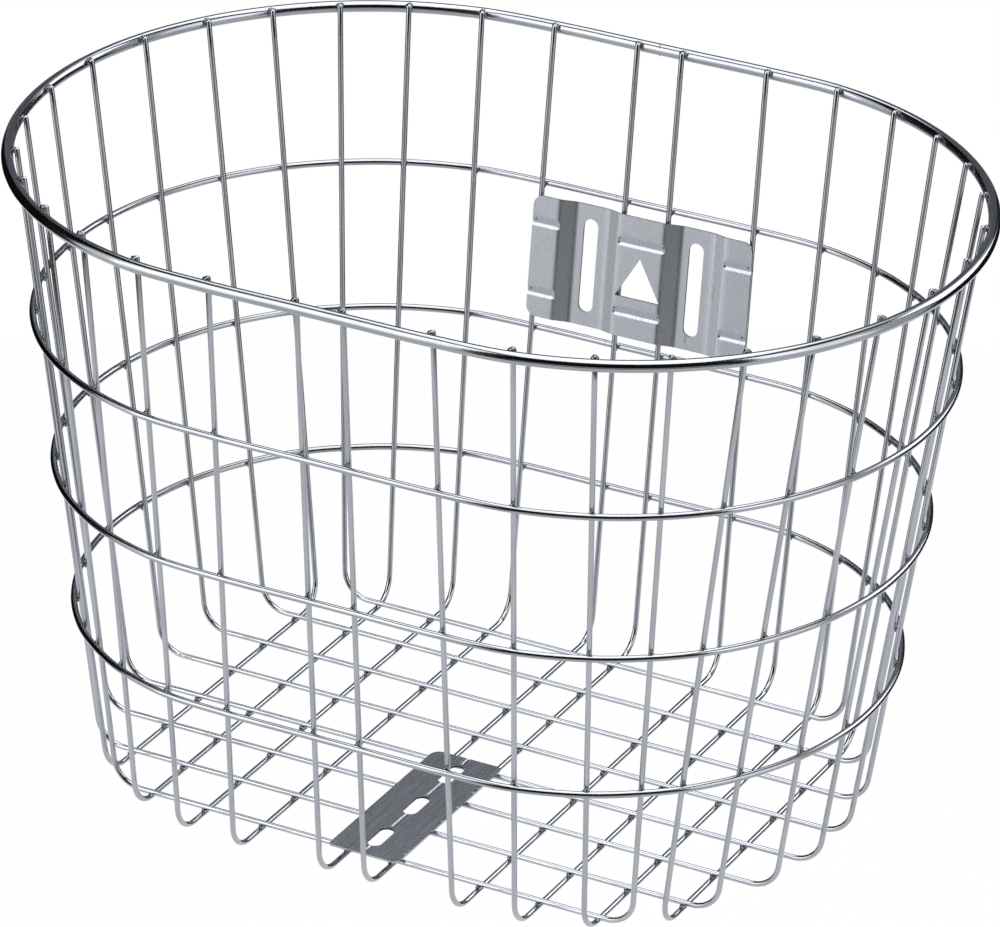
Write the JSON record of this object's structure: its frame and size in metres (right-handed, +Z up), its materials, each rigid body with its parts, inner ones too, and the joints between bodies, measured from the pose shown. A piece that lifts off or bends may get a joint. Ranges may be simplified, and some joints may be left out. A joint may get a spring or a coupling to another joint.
{
  "type": "bicycle basket",
  "caption": "Oval front basket for a bicycle, welded from bent stainless wire, with a thick rim, hoops round the walls, a slotted back plate and a slotted floor plate.",
  "frame": {"origin": "On the floor that the basket stands on, under the middle of the rim.", "axes": "X runs across the basket to its right, +Y points back to the bicycle and the back plate, +Z is up."},
  "size_m": [0.3994, 0.2892, 0.2574],
  "materials": {
    "drawn_wire": "bright drawn stainless wire",
    "polished_wire": "polished stainless wire",
    "pressed_sheet": "satin pressed stainless sheet"
  },
  "bodies": {
    "root": {"long_wire_1": "drawn_wire", "long_wire_2": "drawn_wire", "long_wire_3": "drawn_wire", "long_wire_4": "drawn_wire", "long_wire_5": "drawn_wire", "long_wire_6": "drawn_wire", "long_wire_7": "drawn_wire", "long_wire_8": "drawn_wire", "long_wire_9": "drawn_wire", "long_wire_10": "drawn_wire", "cross_wire_1": "drawn_wire", "cross_wire_2": "drawn_wire", "cross_wire_3": "drawn_wire", "cross_wire_4": "drawn_wire", "cross_wire_5": "drawn_wire", "cross_wire_6": "drawn_wire", "cross_wire_7": "drawn_wire", "cross_wire_8": "drawn_wire", "hoop_low": "polished_wire", "hoop_middle": "polished_wire", "hoop_high": "polished_wire", "rim": "polished_wire", "back_plate": "pressed_sheet", "floor_plate": "pressed_sheet"}
  },
  "joints": []
}
